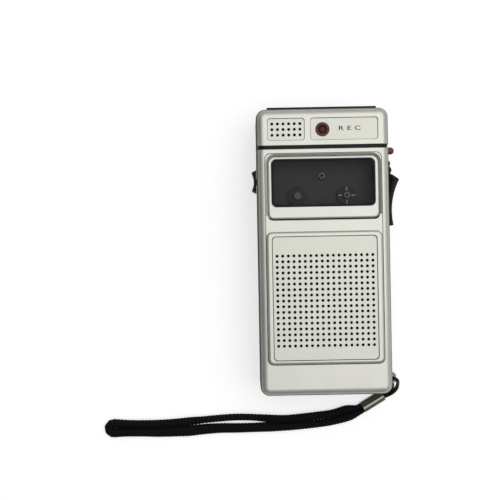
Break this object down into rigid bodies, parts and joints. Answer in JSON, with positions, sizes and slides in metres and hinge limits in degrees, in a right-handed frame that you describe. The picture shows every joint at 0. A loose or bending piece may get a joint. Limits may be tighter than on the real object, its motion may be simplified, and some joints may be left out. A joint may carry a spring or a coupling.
{
  "type": "dictation machine",
  "caption": "Pocket tape dictation machine with a hinged cassette door, loudspeaker grille, side slides, record button, head-end microphone and a cord wrist strap.",
  "frame": {"origin": "centre of the flat back, which lies on the table", "axes": "+X to the right side with the thumb slide, +Y to the head end with the microphone, +Z out of the front"},
  "size_m": [0.1662, 0.1812, 0.0324],
  "materials": {
    "housing_silver": "satin silver lacquer",
    "grille_silver": "fine matt, perforated",
    "black_plastic": "satin black",
    "smoke_window": "clear smoked",
    "well_plastic": "dark grey",
    "deck_plastic": "moulded grey",
    "pale_plastic": "pale moulded",
    "steel": "brushed",
    "bright_metal": "polished",
    "brass": "turned",
    "red_plastic": "gloss red",
    "lamp_lens": "smoked rose",
    "lamp_core": "dark red",
    "felt": "black felt",
    "rubber": "matt",
    "cord_braid": "braided black",
    "leader_cord": "smooth black",
    "board": "lacquered board",
    "components": "moulded cases",
    "cell_jacket": "printed film",
    "contact": "plated",
    "magnet": "ferrite",
    "paper_cone": "pressed paper"
  },
  "bodies": {
    "housing": {"front_shell": "housing_silver", "rear_shell": "housing_silver", "head_cap": "housing_silver", "head_spacer": "black_plastic", "front_panel": "housing_silver", "speaker_grille": "grille_silver", "grille_cloth": "felt", "door_hinge_pins": "steel", "door_catch": "brass", "mic_grille": "grille_silver", "record_plate": "grille_silver", "lamp_lens": "lamp_lens", "lamp_led": "lamp_core", "top_strip": "black_plastic", "earphone_jack": "steel", "remote_jack": "steel", "record_switch": "deck_plastic", "mode_switch": "deck_plastic", "volume_control": "deck_plastic", "strap_staple": "bright_metal", "strap_leader": "leader_cord", "strap_ferrule": "bright_metal", "wrist_cord": "cord_braid", "battery_cells": "cell_jacket", "battery_contacts": "contact", "housing_screws": "steel", "cassette_well": "well_plastic", "chassis": "steel", "inner_screws": "steel", "guide_post": "brass", "spindle_bushes": "brass", "motor": "steel", "pulley_shaft": "steel", "drive_belt": "rubber", "takeup_belt": "rubber", "circuit_board": "board", "board_components": "components", "speaker_frame": "steel", "speaker_magnet": "magnet", "speaker_cone": "paper_cone", "mic_capsule": "steel", "mic_sleeve": "rubber", "head_board": "board"},
    "door": {"cassette_door": "housing_silver", "door_window": "smoke_window"},
    "thumb": {"thumb_slide": "black_plastic"},
    "volume": {"volume_slide": "black_plastic"},
    "button": {"record_button": "red_plastic"},
    "battery_cover": {"battery_door": "housing_silver", "end_contacts": "contact"},
    "head_carriage": {"head_plate": "steel", "record_head": "bright_metal", "erase_head": "pale_plastic"},
    "drive": {"drive_pulley": "brass"},
    "motor_rotor": {"motor_pulley": "brass"},
    "takeup": {"takeup_spindle": "deck_plastic", "takeup_dog": "pale_plastic", "takeup_pulley": "pale_plastic"},
    "supply": {"supply_spindle": "deck_plastic", "supply_hub": "pale_plastic"}
  },
  "joints": [
    {"name": "door_hinge", "type": "hinge", "parent": "housing", "child": "door", "pos_m": [0, 0.0191, 0.0293], "axis": [1, 0, 0], "range_deg": [0, 60]},
    {"name": "head_travel", "type": "slide", "parent": "housing", "child": "head_carriage", "axis": [0, 1, 0], "range_m": [-0.0024, 0.0008]},
    {"name": "thumb_travel", "type": "slide", "parent": "housing", "child": "thumb", "axis": [0, 1, 0], "range_m": [-0.006, 0.002]},
    {"name": "volume_travel", "type": "slide", "parent": "housing", "child": "volume", "axis": [0, 1, 0], "range_m": [-0.004, 0.004]},
    {"name": "record_press", "type": "slide", "parent": "housing", "child": "button", "axis": [-1, 0, 0], "range_m": [0, 0.0018], "stiffness_N_per_m": 200},
    {"name": "battery_cover_slide", "type": "slide", "parent": "housing", "child": "battery_cover", "axis": [0, -1, 0], "range_m": [0, 0.006]},
    {"name": "drive_spin", "type": "hinge", "parent": "housing", "child": "drive", "pos_m": [0.015, 0.0455, 0.006], "axis": [0, 0, 1], "continuous": true},
    {"name": "motor_spin", "type": "hinge", "parent": "housing", "child": "motor_rotor", "pos_m": [-0.017, 0.0435, 0.006], "axis": [0, 0, 1], "continuous": true},
    {"name": "takeup_spin", "type": "hinge", "parent": "housing", "child": "takeup", "pos_m": [0.01345, 0.0306, 0.006], "axis": [0, 0, 1], "continuous": true},
    {"name": "supply_spin", "type": "hinge", "parent": "housing", "child": "supply", "pos_m": [-0.01345, 0.0306, 0.006], "axis": [0, 0, 1], "continuous": true}
  ],
  "couplings": [
    {"joint": "thumb_travel", "follows": "head_travel", "ratio": 2.5},
    {"joint": "motor_spin", "follows": "drive_spin", "ratio": 3.25},
    {"joint": "takeup_spin", "follows": "drive_spin", "ratio": 0.60377}
  ]
}
